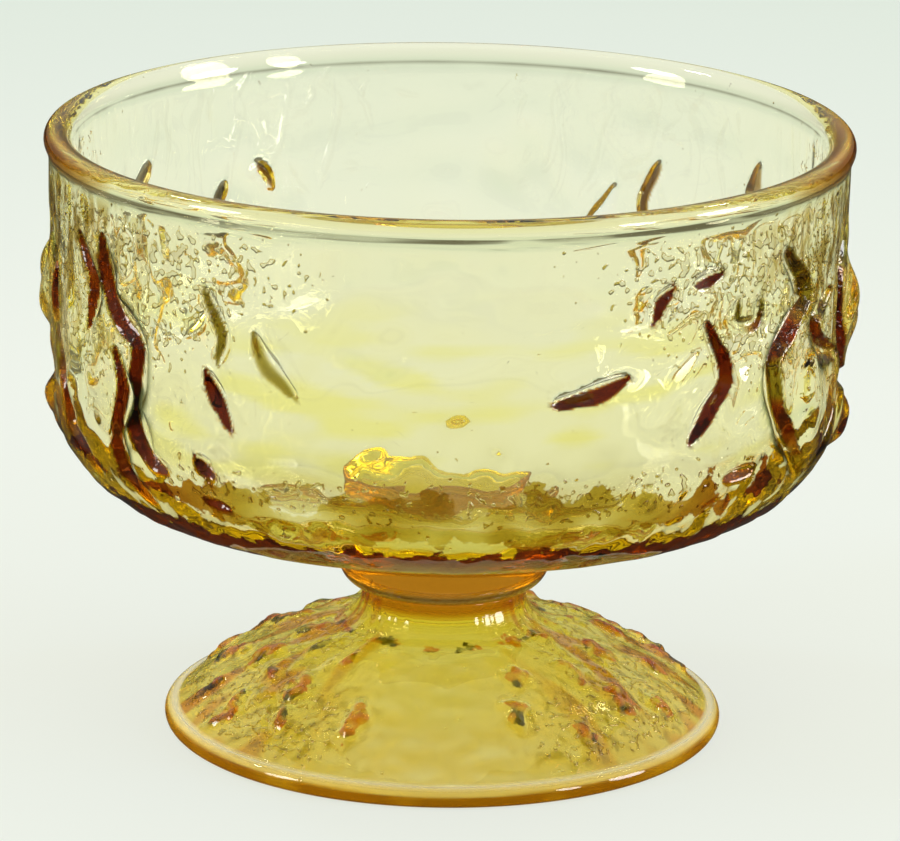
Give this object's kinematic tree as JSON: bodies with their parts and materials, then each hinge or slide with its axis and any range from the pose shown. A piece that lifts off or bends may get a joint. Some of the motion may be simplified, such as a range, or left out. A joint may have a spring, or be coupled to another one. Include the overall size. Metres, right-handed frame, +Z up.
{
  "type": "sherbet glass",
  "caption": "Footed dessert glass in pale amber: a wide bowl with a crinkled wall and a smooth rim bead, on a round button and a textured domed foot.",
  "frame": {"origin": "on the table plane, under the centre of the foot", "axes": "+Z up along the glass's axis; -Y towards the viewer; the glass is round, so X and Y follow the crinkle of the wall as the picture shows it"},
  "size_m": [0.0952, 0.095, 0.073],
  "materials": {
    "amber_glass": "fire-polished, gloss"
  },
  "bodies": {
    "root": {"bowl": "amber_glass", "button": "amber_glass", "foot": "amber_glass"}
  },
  "joints": []
}
